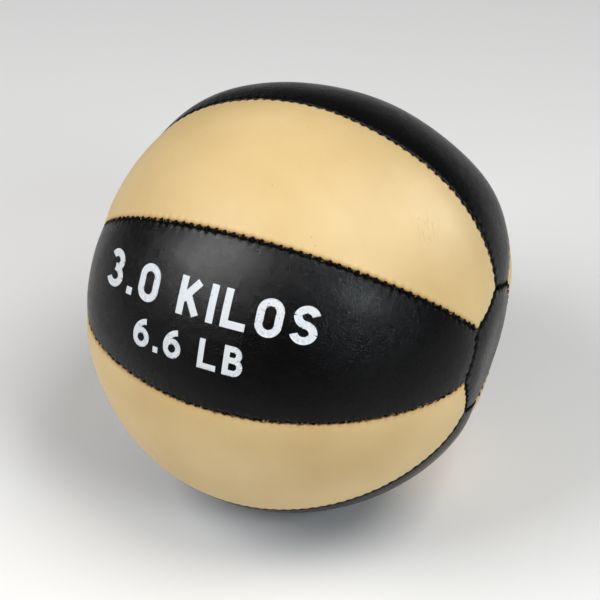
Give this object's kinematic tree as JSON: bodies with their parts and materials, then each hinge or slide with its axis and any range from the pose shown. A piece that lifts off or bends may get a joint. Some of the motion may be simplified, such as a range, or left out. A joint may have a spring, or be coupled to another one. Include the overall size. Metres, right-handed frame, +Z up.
{
  "type": "medicine ball",
  "caption": "Sewn leather medicine ball: tan and black gores alternate between two octagonal end caps, over a stuffed and weighted core.",
  "frame": {"origin": "middle of the small flat on which the ball rests", "axes": "+X along the polar axis towards one end cap, +Z up, the weight print on the -Y side"},
  "size_m": [0.2238, 0.23, 0.2275],
  "materials": {
    "cover_tan": "satin smooth leather",
    "cover_black": "semi-gloss fine-grained leather",
    "backing_canvas": "unbleached plain-weave canvas",
    "seam_thread": "waxed twisted thread",
    "stuffing": "packed textile fibre",
    "bag_cloth": "close-woven cotton",
    "bag_cord": "twisted twine",
    "sand": "dry grains",
    "print_ink": "screen-printed ink"
  },
  "bodies": {
    "root": {"gore_tan_1": "cover_tan", "gore_tan_2": "cover_tan", "gore_tan_3": "cover_tan", "gore_tan_4": "cover_tan", "gore_black_1": "cover_black", "gore_black_2": "cover_black", "gore_black_3": "cover_black", "gore_black_4": "cover_black", "end_cap_left": "cover_black", "end_cap_right": "cover_black", "backing_tan_1": "backing_canvas", "backing_tan_2": "backing_canvas", "backing_tan_3": "backing_canvas", "backing_tan_4": "backing_canvas", "backing_black_1": "backing_canvas", "backing_black_2": "backing_canvas", "backing_black_3": "backing_canvas", "backing_black_4": "backing_canvas", "backing_cap_left": "backing_canvas", "backing_cap_right": "backing_canvas", "closing_seam_thread": "seam_thread", "seam_thread_1": "seam_thread", "seam_thread_2": "seam_thread", "seam_thread_3": "seam_thread", "seam_thread_4": "seam_thread", "seam_thread_5": "seam_thread", "seam_thread_6": "seam_thread", "seam_thread_7": "seam_thread", "cap_seam_thread_left": "seam_thread", "cap_seam_thread_right": "seam_thread", "stuffing": "stuffing", "ballast_bag": "bag_cloth", "ballast_bag_tie": "bag_cord", "ballast": "sand", "weight_print": "print_ink"}
  },
  "joints": []
}
